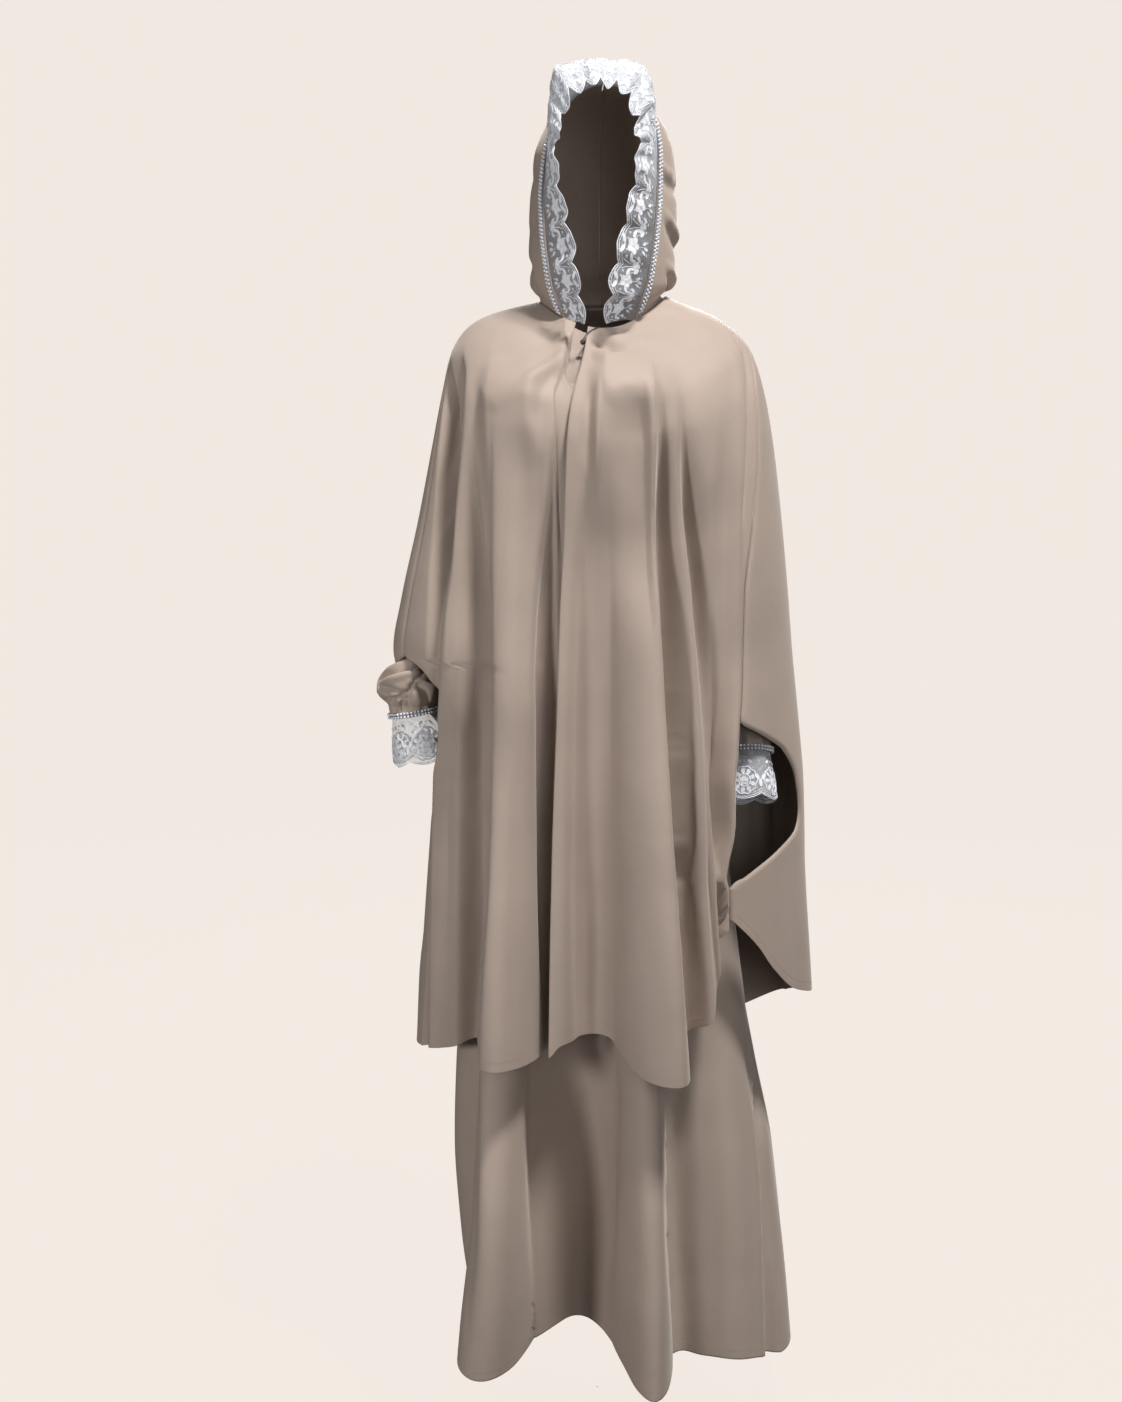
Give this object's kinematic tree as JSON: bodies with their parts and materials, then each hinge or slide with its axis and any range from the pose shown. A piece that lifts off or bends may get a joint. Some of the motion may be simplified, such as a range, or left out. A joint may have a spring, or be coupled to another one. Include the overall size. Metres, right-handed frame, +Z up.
{
  "type": "hooded abaya cloak with its matching dress",
  "caption": "Long taupe satin-crepe abaya: a hooded outer cloak over a matching floor-length dress, with white lace and bead trim at the hood and cuffs.",
  "frame": {"origin": "midpoint between the wearer's two neck-shoulder points, where the garment hangs", "axes": "+Z up the wearer's height, +X towards the wearer's left, -Y out of the chest"},
  "size_m": [0.6072, 0.4841, 1.7495],
  "materials": {
    "crepe": "satin-faced crepe with a soft sheen",
    "lace": "embroidered net lace",
    "beads": "rows of small faceted beads on tape",
    "button": "small dark button",
    "loop": "thin corded loop"
  },
  "bodies": {
    "root": {"cape_back": "crepe", "cape_front_right": "crepe", "cape_front_left": "crepe", "dress_front_top": "crepe", "dress_front_skirt": "crepe", "dress_back_top": "crepe", "dress_back_skirt": "crepe", "sleeve_right_upper": "crepe", "sleeve_right_lower": "crepe", "sleeve_left_upper": "crepe", "sleeve_left_lower": "crepe", "hood_right": "crepe", "hood_left": "crepe", "hood_lace": "lace", "cuff_lace_right": "lace", "cuff_lace_left": "lace", "hood_bead_tape": "beads", "cuff_tape_right": "beads", "cuff_tape_left": "beads", "neck_button": "button", "neck_loop": "loop"}
  },
  "joints": []
}
